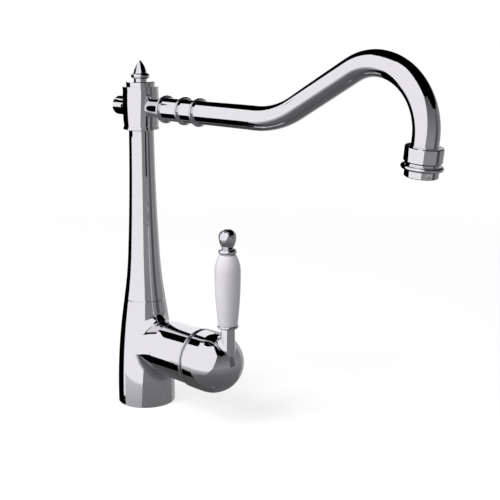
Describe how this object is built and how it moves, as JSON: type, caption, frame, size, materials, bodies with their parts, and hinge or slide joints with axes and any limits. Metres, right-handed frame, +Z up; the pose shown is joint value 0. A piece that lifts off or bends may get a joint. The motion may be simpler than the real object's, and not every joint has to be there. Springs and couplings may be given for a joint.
{
  "type": "mixer tap",
  "caption": "Deck-mounted kitchen mixer tap: flared chrome column, swivelling swan-neck spout with aerator, and a side lever with a domed cap and a ceramic grip.",
  "frame": {"origin": "centre of the base on its underside, which stands on the deck", "axes": "+Z up the column, +X along the spout and the valve boss, +Y to the left of them"},
  "size_m": [0.3288, 0.0492, 0.3067],
  "materials": {
    "chrome_plate": "polished chrome plate on cast and drawn brass",
    "glazed_ceramic": "white glaze, glossy",
    "rubber": "moulded nitrile, matt",
    "brass": "turned, uncoated",
    "nylon": "injection moulded",
    "alumina": "lapped flat",
    "steel": "machined stainless steel"
  },
  "bodies": {
    "body": {"lower_body": "chrome_plate", "base_gasket": "rubber", "socket_ring": "chrome_plate", "upper_column": "chrome_plate", "column_oring": "rubber", "swivel_orings": "rubber", "lower_slip_ring": "nylon", "upper_slip_ring": "nylon", "retaining_nut": "brass", "cartridge_base": "nylon", "cartridge_seals": "rubber", "fixed_disc": "alumina", "cartridge_housing": "nylon", "cartridge_nut": "brass"},
    "turret": {"turret": "nylon", "pivot_pin": "steel"},
    "disc": {"moving_disc": "alumina", "disc_carrier": "nylon"},
    "lever": {"spindle": "steel", "lever_cap": "chrome_plate", "grub_screw": "steel", "lever_stem": "chrome_plate", "lower_ferrule": "chrome_plate", "ceramic_handle": "glazed_ceramic", "handle_rod": "steel", "upper_ferrule": "chrome_plate", "knob": "chrome_plate"},
    "spout": {"head_barrel": "chrome_plate", "head_cap": "chrome_plate", "finial": "chrome_plate", "rear_button": "chrome_plate", "spout_neck": "chrome_plate", "spout_collar": "chrome_plate", "spout_tube": "chrome_plate", "outlet_collar": "chrome_plate", "aerator_washer": "rubber", "aerator_housing": "chrome_plate", "aerator_mesh": "nylon", "aerator_insert": "nylon"}
  },
  "joints": [
    {"name": "spout_swivel", "type": "hinge", "parent": "body", "child": "spout", "pos_m": [0, 0, 0.25335], "axis": [0, 0, 1], "continuous": true},
    {"name": "lever_turn", "type": "hinge", "parent": "body", "child": "turret", "pos_m": [0.0825, 0, 0.053], "axis": [1, 0, 0], "range_deg": [-45, 45]},
    {"name": "lever_tilt", "type": "hinge", "parent": "turret", "child": "lever", "pos_m": [0.0825, 0, 0.053], "axis": [0, 1, 0], "range_deg": [0, 22]},
    {"name": "disc_slide", "type": "slide", "parent": "turret", "child": "disc", "axis": [0, 0, 1], "range_m": [0, 0.0039]}
  ],
  "couplings": [
    {"joint": "disc_slide", "follows": "lever_tilt", "m_per_rad": 0.01}
  ]
}
